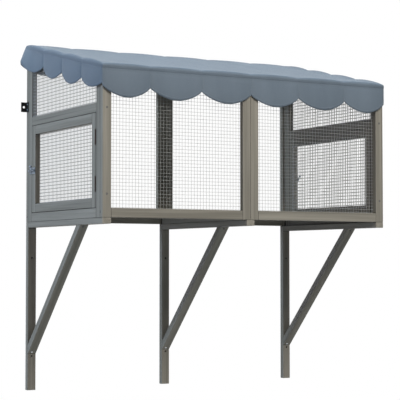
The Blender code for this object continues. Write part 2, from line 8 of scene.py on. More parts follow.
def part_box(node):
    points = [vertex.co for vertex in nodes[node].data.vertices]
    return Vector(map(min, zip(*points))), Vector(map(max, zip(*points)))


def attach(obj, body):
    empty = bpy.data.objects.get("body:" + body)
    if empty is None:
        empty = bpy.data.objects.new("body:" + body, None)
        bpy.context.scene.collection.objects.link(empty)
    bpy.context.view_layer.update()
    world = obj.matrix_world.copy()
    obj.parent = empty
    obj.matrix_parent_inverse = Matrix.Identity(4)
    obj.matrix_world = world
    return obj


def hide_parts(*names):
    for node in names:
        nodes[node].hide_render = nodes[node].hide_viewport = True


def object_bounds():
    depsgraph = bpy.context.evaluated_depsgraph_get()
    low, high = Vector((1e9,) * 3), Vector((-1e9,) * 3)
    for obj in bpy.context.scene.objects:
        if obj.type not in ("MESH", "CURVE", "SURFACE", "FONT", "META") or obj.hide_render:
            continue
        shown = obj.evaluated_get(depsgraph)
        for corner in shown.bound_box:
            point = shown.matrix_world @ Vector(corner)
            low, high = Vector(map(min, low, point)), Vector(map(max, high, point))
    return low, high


# Window catio: grey stained timber, galvanised net, a blue grey canvas roof and small steel
# hardware. Metres, +Z up, the front faces -Y and the wall is the plane Y = 0.

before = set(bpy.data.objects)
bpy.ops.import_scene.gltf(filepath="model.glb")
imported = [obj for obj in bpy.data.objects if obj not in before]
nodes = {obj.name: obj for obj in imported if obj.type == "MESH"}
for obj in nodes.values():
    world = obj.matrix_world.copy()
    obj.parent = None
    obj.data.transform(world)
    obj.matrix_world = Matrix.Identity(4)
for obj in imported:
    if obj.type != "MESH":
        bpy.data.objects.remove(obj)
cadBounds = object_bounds()
scene = bpy.context.scene
sides = {"left": -1, "right": 1}


def nodeBox(name):
    low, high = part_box(name)
    return Vector(low), Vector(high)


def nodesEnding(*endings):
    return [name for name in sorted(nodes) if name.endswith(endings)]


cageLow, frontTop = nodeBox("front_left_outer_stile")
rearTop = nodeBox("rear_left_post")[1]
cageHigh = Vector((nodeBox("front_right_outer_stile")[1].x, rearTop.y, rearTop.z))
roofSlope = (cageHigh.z - frontTop.z) / (cageHigh.y - frontTop.y)
timberWidth = frontTop.x - cageLow.x


def roofHeight(y):
    # top of the timber that carries the cloth
    return frontTop.z + (y - frontTop.y) * roofSlope


print("frame loaded:", len(nodes), "nodes")

# Camera at the photograph's place and angle
cameraSettings = {
    "place": (-2.7475, -5.1743, 0.1721),
    "pitch": 2.558,          # degrees up
    "yaw": -29.467,          # degrees, from the left of the front
    "lens": 126.9,
    "sensor": 36.0,
    "farthest": 100.0,
}


def makeCamera(settings):
    data = bpy.data.cameras.new("photoCamera")
    data.lens = settings["lens"]
    data.sensor_width = settings["sensor"]
    data.clip_end = settings["farthest"]
    camera = bpy.data.objects.new("photoCamera", data)
    camera.location = settings["place"]
    pitch, yaw = math.radians(90 + settings["pitch"]), math.radians(settings["yaw"])
    camera.rotation_euler = (pitch, 0, yaw)
    scene.collection.objects.link(camera)
    scene.camera = camera


makeCamera(cameraSettings)


# Small helpers for node trees

def srgb(red, green, blue):
    def linear(value):
        share = value / 255
        return share / 12.92 if share <= 0.04045 else ((share + 0.055) / 1.055) ** 2.4
    return (linear(red), linear(green), linear(blue), 1)


def startMaterial(name, roughness, metallic=0.0, specular=0.5):
    material = bpy.data.materials.new(name)
    material.use_nodes = True
    tree = material.node_tree
    shader = tree.nodes["Principled BSDF"]
    shader.inputs["Roughness"].default_value = roughness
    shader.inputs["Metallic"].default_value = metallic
    shader.inputs["Specular IOR Level"].default_value = specular
    return material, tree, shader


def addNode(tree, kind, values=None, **settings):
    # values go into the sockets, by name or number, each as a link or as a constant
    node = tree.nodes.new(kind)
    for key, value in settings.items():
        setattr(node, key, value)
    for key, value in (values or {}).items():
        if isinstance(value, bpy.types.NodeSocket):
            tree.links.new(value, node.inputs[key])
        else:
            node.inputs[key].default_value = value
    return node


def objectPlace(tree, turn=(0, 0, 0), scale=(1, 1, 1), shift=None):
    # object coordinates, turned first and then scaled
    place = addNode(tree, "ShaderNodeTexCoord").outputs["Object"]
    turned = addNode(tree, "ShaderNodeMapping", {"Vector": place, "Rotation": turn}).outputs[0]
    if shift is not None:
        turned = addNode(tree, "ShaderNodeVectorMath", {0: turned, 1: shift},
                         operation="ADD").outputs[0]
    return addNode(tree, "ShaderNodeMapping", {"Vector": turned, "Scale": scale}).outputs[0]


def noiseAt(tree, place, detail, scale=1.0, roughness=0.5):
    values = {"Vector": place, "Scale": scale, "Detail": detail, "Roughness": roughness}
    return addNode(tree, "ShaderNodeTexNoise", values).outputs["Fac"]


def ramp(tree, value, stops, dark=(0, 0, 0, 1), light=(1, 1, 1, 1)):
    # dark up to the first stop, light from the second one on
    node = addNode(tree, "ShaderNodeValToRGB", {"Fac": value})
    for element, position, colour in zip(node.color_ramp.elements, stops, (dark, light)):
        element.position = position
        element.color = colour
    return node.outputs["Color"]


def mixColour(tree, factor, first, second):
    # in a colour mix, sockets 6 and 7 are the two colours and output 2 is the result
    return addNode(tree, "ShaderNodeMix", {0: factor, 6: first, 7: second},
                   data_type="RGBA").outputs[2]


def combineMath(tree, operation, *values):
    return addNode(tree, "ShaderNodeMath", dict(enumerate(values)), operation=operation).outputs[0]


def weighted(tree, first, second, share):
    return combineMath(tree, "ADD", combineMath(tree, "MULTIPLY", first, share),
                       combineMath(tree, "MULTIPLY", second, 1 - share))


def addBump(tree, shader, height, distance, strength):
    values = {"Height": height, "Distance": distance, "Strength": strength}
    bump = addNode(tree, "ShaderNodeBump", values)
    tree.links.new(bump.outputs[0], shader.inputs["Normal"])


# Timber: planed softwood under a thin grey stain
timberSettings = {
    "light": srgb(152, 146, 136),
    "dark": srgb(120, 115, 106),
    "stainStops": (0.33, 0.66),    # where the noise gives the dark and the light tone
    "grainLine": srgb(92, 87, 80),
    "lineStops": (0.66, 0.74),
    "lineStrength": 0.55,
    "roughness": 0.62,
    "roughnessRange": 0.18,
    "specular": 0.10,              # a matt stain
    "fineGrain": (5.0, 260.0),     # noise scale along the grain, and across it
    "bandGrain": (1.1, 46.0),
    "lineGrain": (0.8, 120.0),
    "fineShare": 0.35,             # of the tone. The rest comes from the bands
    "boardShift": 17.0,            # how far each board's grain is moved from the next one's
    "boardTone": 0.05,             # by how much two boards may differ
    "seamShadeReach": 0.005,            # how near another surface must be for the painted shade of a joint or recess
    "seamShadeOpen": (0.5, 0.95),       # how open a point is in a joint, and on bare timber, for the painted shade
    # colour of the painted shade in joints and recesses
    "seamShadeTone": srgb(30, 28, 26),
    "seamShadeSamples": 6,
    "bump": (0.0004, 0.5),         # depth and strength
}


def timberFinish(name, axis, settings, turn=(0, 0, 0)):
    # axis is the direction of the grain
    material, tree, shader = startMaterial(name, settings["roughness"],
                                           specular=settings["specular"])
    board = addNode(tree, "ShaderNodeObjectInfo").outputs["Random"]
    moved = combineMath(tree, "MULTIPLY", board, settings["boardShift"])
    shift = addNode(tree, "ShaderNodeCombineXYZ", {0: moved, 1: moved, 2: moved}).outputs[0]

    def grain(scales, detail, roughness):
        along, across = scales
        stretch = [along if index == axis else across for index in range(3)]
        return noiseAt(tree, objectPlace(tree, turn, stretch, shift), detail, roughness=roughness)

    fine = grain(settings["fineGrain"], detail=4, roughness=0.6)
    bands = grain(settings["bandGrain"], detail=2, roughness=0.5)
    lines = grain(settings["lineGrain"], detail=1, roughness=0.4)
    tone = weighted(tree, fine, bands, settings["fineShare"])
    stain = ramp(tree, tone, settings["stainStops"], settings["dark"], settings["light"])
    lineMask = combineMath(tree, "MULTIPLY", ramp(tree, lines, settings["lineStops"]),
                           settings["lineStrength"])
    lined = mixColour(tree, lineMask, stain, settings["grainLine"])
    brightness = combineMath(tree, "MULTIPLY_ADD", board, settings["boardTone"],
                             1 - settings["boardTone"] / 2)
    varied = addNode(tree, "ShaderNodeHueSaturation", {"Color": lined, "Value": brightness})

    # painted shade: the joints between boards, and every other spot near another surface, are
    # drawn darker from ambient occlusion
    occlusion = addNode(tree, "ShaderNodeAmbientOcclusion", {"Distance": settings["seamShadeReach"]},
                     samples=settings["seamShadeSamples"]).outputs["AO"]
    narrow, wide = settings["seamShadeOpen"]
    bare = addNode(tree, "ShaderNodeMapRange",
                   {"Value": occlusion, "From Min": narrow, "From Max": wide}).outputs["Result"]
    seamShaded = mixColour(tree, bare, settings["seamShadeTone"], varied.outputs[0])
    tree.links.new(seamShaded, shader.inputs["Base Color"])
    rough = combineMath(tree, "MULTIPLY_ADD", fine, settings["roughnessRange"],
                        settings["roughness"] - settings["roughnessRange"] / 2)
    tree.links.new(rough, shader.inputs["Roughness"])
    addBump(tree, shader, combineMath(tree, "SUBTRACT", fine, lineMask), *settings["bump"])
    return material


roofAngle = math.atan(roofSlope)
braceAngle = math.radians(45)
timberAcross = timberFinish("stainedTimberAcross", 0, timberSettings)
timberDeep = timberFinish("stainedTimberDeep", 1, timberSettings)
timberUpright = timberFinish("stainedTimberUpright", 2, timberSettings)
timberBrace = timberFinish("stainedTimberBrace", 1, timberSettings, (braceAngle, 0, 0))
timberRafter = timberFinish("stainedTimberRafter", 1, timberSettings, (-roofAngle, 0, 0))

# Metals: a fine grain between two tones. Bump is depth and strength
metalSettings = {
    "galvanisedWire": {
        "dark": srgb(150, 150, 147), "light": srgb(178, 178, 174), "stops": (0.3, 0.7),
        "roughness": 0.5, "metallic": 0.25, "specular": 0.5,
        "grain": 900, "detail": 2, "bump": (0.0001, 0.4),
    },
    "boltZinc": {
        "dark": srgb(74, 88, 104), "light": srgb(150, 160, 172), "stops": (0.35, 0.65),
        "roughness": 0.32, "metallic": 0.9, "specular": 0.5,
        "grain": 1400, "detail": 2, "bump": (0.00005, 0.5), "brushed": True,
    },
    # painted glint: a paler copy of the screw zinc, for the screws at the braces' feet only
    "screwZincPaintedGlint": {
        "dark": srgb(190, 192, 196), "light": srgb(226, 228, 230), "stops": (0.35, 0.65),
        "roughness": 0.32, "metallic": 0.6, "specular": 0.5,
        "grain": 1400, "detail": 2, "bump": (0.00005, 0.5), "brushed": True,
    },
    "blackPowderCoat": {
        "dark": srgb(9, 9, 10), "light": srgb(20, 20, 21), "stops": (0.3, 0.75),
        "roughness": 0.5, "metallic": 0.0, "specular": 0.2,
        "grain": 1500, "detail": 2, "bump": (0.0001, 0.5),
    },
    "bronzedSteel": {        # thin and brown, for the hinges
        "dark": srgb(44, 33, 30), "light": srgb(74, 56, 48), "stops": (0.35, 0.7),
        "roughness": 0.5, "metallic": 0.4, "specular": 0.3,
        "grain": 700, "detail": 3, "bump": (0.0001, 0.5),
    },
    "greyScrew": {
        "dark": srgb(72, 73, 75), "light": srgb(104, 104, 104), "stops": (0.3, 0.7),
        "roughness": 0.5, "metallic": 0.5, "specular": 0.3,
        "grain": 1100, "detail": 2, "bump": (0.0001, 0.4),
    },
}
brushSettings = {
    "stretch": (1, 0.15, 1),     # the grain is drawn out along Y
    "roughness": (0.2, 0.22),    # its range, and its least
}


def metalFinish(name, settings, brush):
    material, tree, shader = startMaterial(name, settings["roughness"], settings["metallic"],
                                           settings["specular"])
    brushed = settings.get("brushed", False)
    place = objectPlace(tree, scale=brush["stretch"] if brushed else (1, 1, 1))
    grains = noiseAt(tree, place, settings["detail"], settings["grain"])
    colour = ramp(tree, grains, settings["stops"], settings["dark"], settings["light"])
    tree.links.new(colour, shader.inputs["Base Color"])
    if brushed:
        rough = combineMath(tree, "MULTIPLY_ADD", grains, *brush["roughness"])
        tree.links.new(rough, shader.inputs["Roughness"])
    addBump(tree, shader, grains, *settings["bump"])
    return material


metals = {name: metalFinish(name, settings, brushSettings)
          for name, settings in metalSettings.items()}
print("finishes made")


def dressNode(name, material):
    node = nodes[name]
    node.data.materials.clear()
    node.data.materials.append(material)


def timberFor(name):
    if name.endswith("_brace"):
        return timberBrace
    if name.endswith("side_top_rail") or name == "roof_rafter":
        return timberRafter
    if name.endswith(("_stile", "_post", "_leg")):
        return timberUpright
    if name.endswith(("_arm", "side_middle_rail", "side_bottom_rail")) or name == "floor_joist":
        return timberDeep
    return timberAcross


timberEndings = ("_stile", "_rail", "_post", "_leg", "_arm", "_brace", "_board", "_joist",
                 "_rafter")
for nodeName in nodesEnding(*timberEndings):
    dressNode(nodeName, timberFor(nodeName))
hardwareEndings = {
    "blackPowderCoat": ("_wall_plate",),
    "bronzedSteel": ("_leaf",),
    "boltZinc": ("_bolt", "_bolt_plate", "_bolt_keeper"),
}
for metalName, endings in hardwareEndings.items():
    for nodeName in nodesEnding(*endings):
        dressNode(nodeName, metals[metalName])
print("timber and hardware dressed")


# New pieces

def linkMesh(name, bm, materials, body, smoothAngle=None):
    mesh = bpy.data.meshes.new(name)
    bm.to_mesh(mesh)
    bm.free()
    if smoothAngle is not None:
        mesh.shade_smooth()
        mesh.set_sharp_from_angle(angle=math.radians(smoothAngle))
    for material in materials:
        mesh.materials.append(material)
    piece = bpy.data.objects.new(name, mesh)
    scene.collection.objects.link(piece)
    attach(piece, body)
    return piece


def addBoard(bm, low, high, settings, materialIndex):
    # one planed board with its edges taken off
    board = bmesh.new()
    bmesh.ops.create_cube(board, size=1)
    bmesh.ops.scale(board, vec=high - low, verts=board.verts)
    bmesh.ops.translate(board, vec=(low + high) / 2, verts=board.verts)
    bmesh.ops.bevel(board, geom=board.edges[:], offset=settings["arris"],
                    segments=settings["arrisSteps"], profile=0.5, affect="EDGES")
    for face in board.faces:
        face.material_index = materialIndex
    copyInto(bm, board)


def copyInto(bm, other):
    carrier = bpy.data.meshes.new("carrier")
    other.to_mesh(carrier)
    other.free()
    bm.from_mesh(carrier)
    bpy.data.meshes.remove(carrier)


# Doors: two stiles and two rails each, butted and glued
doorSettings = {
    "seam": 0.00025,         # between a stile and a rail
    "arris": 0.0009,         # taken off each edge
    "arrisSteps": 2,
}


def makeDoorFrame(word, settings):
    node = f"{word}_door_frame"
    low, high = nodeBox(node)
    bm = bmesh.new()
    for startY in (low.y, high.y - timberWidth):
        addBoard(bm, Vector((low.x, startY, low.z)),
                 Vector((high.x, startY + timberWidth, high.z)), settings, 0)
    # the rails fit between the stiles
    railStart = low.y + timberWidth + settings["seam"]
    railEnd = high.y - timberWidth - settings["seam"]
    for startZ in (low.z, high.z - timberWidth):
        addBoard(bm, Vector((low.x, railStart, startZ)),
                 Vector((high.x, railEnd, startZ + timberWidth)), settings, 1)
    piece = linkMesh(f"{word}DoorBoards", bm, [timberUpright, timberDeep], f"{word}_door")
    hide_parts(node)


for sideWord in sides:
    makeDoorFrame(sideWord, doorSettings)
print("door boards made")


# Wire nets: welded square mesh, uprights on one side and crosswires on the other
netSettings = {
    "pitch": 0.0127,
    "front": (0.0011, 0.0011),   # thickness of an upright and of a crosswise wire
    "side": (0.0020, 0.0025),
    "firstRow": 0.002,           # from the net's lower edge to the first crosswire
    "bevelSteps": 2,
}


def makeNet(node, body, outward, wires, settings):
    # outward is the axis and sign of the face that shows: the uprights lie on that side
    low, high = nodeBox(node)
    axis, sign = outward
    across = 1 if axis == 0 else 0
    pitch = settings["pitch"]
    upright, crosswise = wires[0] / 2, wires[1] / 2
    # the face lies against the back of the timber that the net is stapled to
    face = low[axis] if sign < 0 else high[axis]
    slope = roofSlope if node.endswith("_side_net") else 0

    def newLayer(radius):
        curve = bpy.data.curves.new("wires", "CURVE")
        curve.dimensions = "3D"
        curve.bevel_depth = radius
        curve.bevel_resolution = settings["bevelSteps"]
        curve.use_fill_caps = True
        curve.resolution_u = 1
        curve.materials.append(metals["galvanisedWire"])
        return curve

    def wire(curve, start, end, depth):
        spline = curve.splines.new("POLY")
        spline.points.add(1)
        for point, (along, height) in zip(spline.points, (start, end)):
            place = Vector((0, 0, height))
            place[axis] = face - sign * depth
            place[across] = along
            point.co = (*place, 1)

    def addLayer(curve, name):
        # the drawn wires become one mesh, which also gives the piece its true box
        drawn = bpy.data.objects.new("drawnWires", curve)
        mesh = bpy.data.meshes.new_from_object(drawn)
        mesh.name = name
        bpy.data.objects.remove(drawn)
        bpy.data.curves.remove(curve)
        piece = bpy.data.objects.new(name, mesh)
        scene.collection.objects.link(piece)
        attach(piece, body)
        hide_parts(node)

    uprights = newLayer(upright)
    crosswires = newLayer(crosswise)
    columns = int((high[across] - low[across] - 2 * upright) / pitch)
    rows = int((high.z - low.z - 2 * crosswise) / pitch)
    startAlong = (low[across] + high[across] - columns * pitch) / 2
    startUp = low.z + crosswise + settings["firstRow"]
    endAlong = high[across] - upright
    for column in range(columns + 1):
        along = startAlong + column * pitch
        top = high.z - upright - slope * (high[across] - along)
        wire(uprights, (along, low.z + upright), (along, top), upright)
    for row in range(rows + 1):
        height = startUp + row * pitch
        if height > high.z - crosswise:
            break
        start = low[across] + upright
        if slope:
            # under the sloping rail the crosswires get shorter
            start = max(start, high[across] - (high.z - crosswise - height) / slope)
        if endAlong - start > pitch / 2:
            wire(crosswires, (start, height), (endAlong, height), 2 * upright + crosswise)
    addLayer(uprights, node + "Uprights")
    addLayer(crosswires, node + "Crosswires")


for sideWord, sideSign in sides.items():
    frontWires, sideWires = netSettings["front"], netSettings["side"]
    makeNet(f"front_{sideWord}_net", "cage", (1, -1), frontWires, netSettings)
    makeNet(f"{sideWord}_side_net", "cage", (0, sideSign), sideWires, netSettings)
    makeNet(f"{sideWord}_door_net", f"{sideWord}_door", (0, sideSign), sideWires, netSettings)
print("nets made")


# Cloth roof: one sheet of coated canvas, rolled over the timber and drawn in at each
# scallop's end
clothSettings = {
    "thickness": 0.0012,
    "clear": 0.0035,          # from the timber to the hanging cloth
    "lift": 0.0006,           # of the roof above the timber
    "frontScallops": 6,
    "sideScallops": 4,
    "endScallop": 0.190,      # width of the first and last in front, the others share the rest
    "frontCusp": 0.076,       # drop at a scallop's end
    "frontDeep": 0.117,       # and in its middle
    "sideCusp": 0.068,
    "sideDeep": (0.093, 0.103, 0.103, 0.098),   # from the front to the wall
    "roundness": 0.75,        # power of a scallop's arch, lower is fuller
    "cornerRoundness": 1.15,  # beside the rear corners
    "cornerReach": 0.7,       # how far a corner is pushed out both ways
    "rollRadius": 0.007,
    "proud": 0.0012,          # how far the rolled edge stands past the hanging cloth
    "proudReach": 0.006,
    "tuck": 0.0014,           # how far the cloth is drawn in under the roll
    "tuckDepth": 0.015,       # below the roof's edge
    "tuckReach": 0.011,
    "sideRoll": 0.35,         # the roll on the two sides, as a share of the front's
    "swell": 0.0085,          # how far a scallop stands out at its hem
    "swellRoundness": 0.7,
    "swellEnd": 0.8,          # share of the drop over which it grows
    "swellGrowth": 1.3,
    "pinch": 0.0008,          # depth of the crease between two scallops
    "pinchReach": 0.0065,
    "pinchStart": 0.03,       # under the roll it deepens over this
    "creaseDip": 0.0004,      # its depth on the roof and round the roll
    "deepest": 0.0026,        # how far the cloth can be drawn in at most
    "flare": 0.024,           # how far the rear corners stand out
    "flareRun": 0.110,
    "flareEnd": 0.85,         # share of the drop over which it grows
    "flareGrowth": 0.9,
    "puff": 0.0042,           # how far the roof's edge rises between creases
    "puffRun": 0.055,
    "sidePuff": 1.6,          # the rise on the two sides, as a share of the front's
    "rearPuff": 0.8,          # and at the wall
    "sag": 0.0022,
    "steps": 20,              # columns in a scallop
    "rollRows": 6,
    "hangRows": 15,
    "rowSpread": 1.1,         # the rows lie closer together near the roll
}


def scallopStations(length, scallops, endLength, steps):
    # each is (distance, share of the scallop, distance to its nearer end), and they lie
    # closer together near the creases
    inner = (length - 2 * endLength) / (scallops - 2)
    lengths = [endLength] + [inner] * (scallops - 2) + [endLength]
    stations, start = [], 0
    for scallop in lengths:
        for step in range(steps):
            share = (1 - math.cos(math.pi * step / steps)) / 2
            stations.append((start + scallop * share, share, scallop * min(share, 1 - share)))
        start += scallop
    return stations + [(length, 0.0, 0.0)]


def arch(share, power):
    # from 0 at a scallop's ends to 1 in its middle
    return math.sin(math.pi * share) ** power if 0 < share < 1 else 0.0


def nearness(distance, reach):
    return math.exp(-(distance / reach) ** 2)


def flareAt(distance, run):
    reach = min(distance / run, 1)
    return (1 + math.cos(math.pi * reach)) / 2


class ClothShape:
    # the sheet's outline, and the places of its points

    def __init__(self, settings):
        self.settings = settings
        self.half = cageHigh.x + settings["clear"]
        self.front = cageLow.y - settings["clear"]
        self.rear = cageHigh.y + settings["lift"]
        self.width = 2 * self.half
        self.depth = self.rear - self.front
        self.across = scallopStations(self.width, settings["frontScallops"],
                                      settings["endScallop"], settings["steps"])
        self.deep = scallopStations(self.depth, settings["sideScallops"],
                                    self.depth / settings["sideScallops"], settings["steps"])

    def inset(self, distance, length):
        # the roof's grid stops a roll's radius short of the edge
        radius = self.settings["rollRadius"]
        return radius + distance * (length - 2 * radius) / length

    def roofPoint(self, acrossStation, deepStation):
        settings = self.settings
        acrossPlace, acrossShare, acrossCrease = acrossStation
        deepPlace, deepShare, deepCrease = deepStation
        x = -self.half + self.inset(acrossPlace, self.width)
        y = self.front + self.inset(deepPlace, self.depth)
        radius = settings["rollRadius"]
        fromFront = max(0, y - self.front - radius)
        fromRear = max(0, self.rear - radius - y)
        fromSide = max(0, self.half - radius - abs(x))
        run, power = settings["puffRun"], settings["swellRoundness"]
        fadeAcross = max(math.exp(-fromFront / run),
                         settings["rearPuff"] * math.exp(-fromRear / run))
        fadeDeep = math.exp(-fromSide / run)
        rise = max(arch(acrossShare, power) * fadeAcross,
                   settings["sidePuff"] * arch(deepShare, power) * fadeDeep)
        crease = max(nearness(acrossCrease, settings["pinchReach"]) * fadeAcross,
                     nearness(deepCrease, settings["pinchReach"]) * fadeDeep)
        # the cloth sags on both sides of the rafter
        spanX = math.sin(math.pi * min(1, abs(x) / self.half))
        spanY = math.sin(math.pi * (y - self.front) / self.depth)
        z = (roofHeight(y) + settings["lift"] + settings["puff"] * rise
             - settings["creaseDip"] * crease - settings["sag"] * spanX * spanY)
        return Vector((x, y, z))

    def edgeStations(self):
        # round the edge from the left front corner: edge, station, grid row and column
        lastRow, lastColumn = len(self.deep) - 1, len(self.across) - 1
        for index, station in enumerate(self.across[:-1]):
            yield "front", station, 0, index
        for index, station in enumerate(self.deep[:-1]):
            yield "right", station, index, lastColumn
        for index, station in enumerate(self.across[:-1]):
            yield "rear", station, lastRow, lastColumn - index
        for index, station in enumerate(self.deep[:-1]):
            yield "left", station, lastRow - index, 0

    def cornerOf(self, edge, along):
        # the place on the outer edge and the way out from it
        places = {
            "front": (-self.half + along, self.front),
            "right": (self.half, self.front + along),
            "rear": (self.half - along, self.rear),
            "left": (-self.half, self.rear - along),
        }
        ways = {"front": (0, -1), "right": (1, 0), "rear": (0, 1), "left": (-1, 0)}
        x, y = places[edge]
        way = Vector(ways[edge])
        if along == 0:
            # each edge starts at a corner, which points between two edges
            before = {"front": "left", "right": "front", "rear": "right", "left": "rear"}[edge]
            way = (way + Vector(ways[before])) * self.settings["cornerReach"]
        return x, y, way

    def totalDrop(self, edge, along, share):
        settings = self.settings
        cusp, deep = settings["frontCusp"], settings["frontDeep"]
        power = settings["roundness"]
        if edge in sides:
            fromFront = along if edge == "right" else self.depth - along
            place = fromFront / self.depth * settings["sideScallops"]
            cusp = settings["sideCusp"]
            deep = settings["sideDeep"][min(int(place), settings["sideScallops"] - 1)]
            # from the middle of the last scallop to the wall
            if place > settings["sideScallops"] - 0.5:
                power = settings["cornerRoundness"]
        return cusp + (deep - cusp) * arch(share, power)

    def hangingColumn(self, edge, station, top):
        # points from the roof's edge, round the roll and down to the hem, each with its depth
        settings = self.settings
        along, share, toCrease = station
        x, y, way = self.cornerOf(edge, along)
        radius = settings["rollRadius"]
        total = self.totalDrop(edge, along, share)
        edgeZ = roofHeight(y) + settings["lift"]
        wallSide = edge == "rear"
        rolled = settings["sideRoll"] if edge in sides else 1
        proud = 0 if wallSide else settings["proud"] * rolled
        crease = nearness(toCrease, settings["pinchReach"])
        spread = Vector((x, y)) + way * (proud - settings["creaseDip"] * crease) - top.co.xy
        points = []
        for row in range(1, settings["rollRows"] + 1):
            turn = math.pi / 2 * row / settings["rollRows"]
            place = top.co.xy + spread * math.sin(turn)
            z = top.co.z + (edgeZ - radius - top.co.z) * (1 - math.cos(turn))
            points.append((Vector((*place, z)), radius * turn / (math.pi / 2)))
        for row in range(1, settings["hangRows"] + 1):
            rowShare = (row / settings["hangRows"]) ** settings["rowSpread"]
            depth = radius + (total - radius) * rowShare
            out = 0 if wallSide else self.standOut(depth, total, share, crease, rolled)
            place = Vector((x, y)) + way * out
            flared = min(1, (depth - radius) / (total * settings["flareEnd"]))
            place.x += self.flareShift(edge, x, y) * flared ** settings["flareGrowth"]
            points.append((Vector((*place, edgeZ - depth)), depth))
        return points, total

    def standOut(self, depth, total, share, crease, rolled):
        # how far the hanging cloth stands out from its plane, at a depth
        settings = self.settings
        under = depth - settings["rollRadius"]
        out = settings["proud"] * rolled * nearness(under, settings["proudReach"])
        out -= settings["tuck"] * rolled * nearness(depth - settings["tuckDepth"],
                                                    settings["tuckReach"])
        lower = min(1, under / (total * settings["swellEnd"]))
        out += (settings["swell"] * arch(share, settings["swellRoundness"])
                * math.sin(math.pi / 2 * lower) ** settings["swellGrowth"])
        out -= settings["pinch"] * crease * min(1, under / settings["pinchStart"])
        return max(out, -settings["deepest"])

    def flareShift(self, edge, x, y):
        settings = self.settings
        side = 1 if x > 0 else -1
        if edge in sides:
            return side * settings["flare"] * flareAt(self.rear - y, settings["flareRun"])
        if edge == "rear":
            return side * settings["flare"] * flareAt(self.half - abs(x), settings["flareRun"])
        return 0


def makeClothRoof(settings, canvas):
    shape = ClothShape(settings)
    bm = bmesh.new()
    cut = bm.loops.layers.uv.new("cut")      # metres on the flat cloth
    hem = bm.loops.layers.uv.new("hem")      # metres round the edge, and up from the hem
    fall = bm.loops.layers.uv.new("fall")    # metres down from the roof's edge
    grid = [[bm.verts.new(shape.roofPoint(station, deepStation)) for station in shape.across]
            for deepStation in shape.deep]
    roofLength = math.hypot(1, roofSlope)    # along the slope, for each metre of depth

    def layFace(corners, flat):
        face = bm.faces.new(corners)
        face.smooth = True
        for loop, (cutPlace, hemPlace, fallPlace) in zip(face.loops, flat):
            loop[cut].uv = cutPlace
            loop[hem].uv = hemPlace
            loop[fall].uv = fallPlace

    # the roof, which has neither hem nor seam
    flatPlace = {}
    for row, (deepPlace, _, _) in zip(grid, shape.deep):
        for vert, (place, _, _) in zip(row, shape.across):
            flatPlace[vert] = ((place, deepPlace * roofLength), (place, 1.0), (place, -1.0))
    for lowRow, highRow in zip(grid, grid[1:]):
        for index in range(len(shape.across) - 1):
            corners = (lowRow[index], lowRow[index + 1], highRow[index + 1], highRow[index])
            layFace(corners, [flatPlace[vert] for vert in corners])

    # the edge that hangs, column by column all the way round
    columns, travelled, lastPlace = [], 0, None
    for edge, station, row, column in shape.edgeStations():
        top = grid[row][column]
        if lastPlace is not None:
            travelled += (top.co - lastPlace).length
        lastPlace = top.co
        points, total = shape.hangingColumn(edge, station, top)
        verts = [(top, 0.0)] + [(bm.verts.new(place), depth) for place, depth in points]
        columns.append((verts, total, travelled))
    firstVerts, firstTotal, _ = columns[0]
    columns.append((firstVerts, firstTotal, travelled + (firstVerts[0][0].co - lastPlace).length))
    for (verts, total, here), (nextVerts, nextTotal, there) in zip(columns, columns[1:]):
        for row in range(len(verts) - 1):
            loop = ((verts[row], total, here), (verts[row + 1], total, here),
                    (nextVerts[row + 1], nextTotal, there), (nextVerts[row], nextTotal, there))
            flat = [((along, -depth), (along, drop - depth), (along, depth))
                    for (_, depth), drop, along in loop]
            layFace([vert for (vert, _), _, _ in loop], flat)
    bmesh.ops.recalc_face_normals(bm, faces=bm.faces)
    area = sum(face.calc_area() for face in bm.faces)
    cloth = linkMesh("canvasRoof", bm, [canvas], "cage")
    skin = cloth.modifiers.new("cloth", "SOLIDIFY")
    skin.thickness = settings["thickness"]
    skin.offset = 1
    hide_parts("cloth_roof")


canvasSettings = {
    "colour": srgb(98, 108, 119),
    "faded": srgb(109, 119, 130),
    "fadeStops": (0.35, 0.68),
    "streakShare": 0.75,      # of the fading. The rest comes from the fibres
    "streaks": (9, 1.6, 1.6),
    "fibres": 420,
    "thread": 0.0011,         # pitch of the weave
    "hemWidth": 0.009,
    "stitch": srgb(116, 127, 140),
    "stitchPitch": 0.0045,
    "stitchShare": 0.62,      # how much of the pitch a stitch takes
    "stitchHalf": 0.0006,     # half of its width
    "stitchBelow": 0.004,     # from the seam down to its stitches
    # the seam's colour, darker than the canvas: partly the seam itself, partly painted shade in
    # its groove
    "seam": srgb(70, 80, 92),
    "seamDepth": 0.0135,      # from the roof's edge down to the seam under the roll
    "seamHalf": 0.0008,
    # how far the seam is darkened, partly painted shade
    "seamShadeTone": 0.2,
    "roughness": 0.44,
    "specular": 0.10,
    "sheen": 0.15,
    "sheenRoughness": 0.35,
    "relief": {"weave": 0.12, "stitch": 0.8, "seam": -1.2, "streaks": 1.5},   # the hem's is 1
    "bump": (0.0006, 0.7),    # depth and strength
}


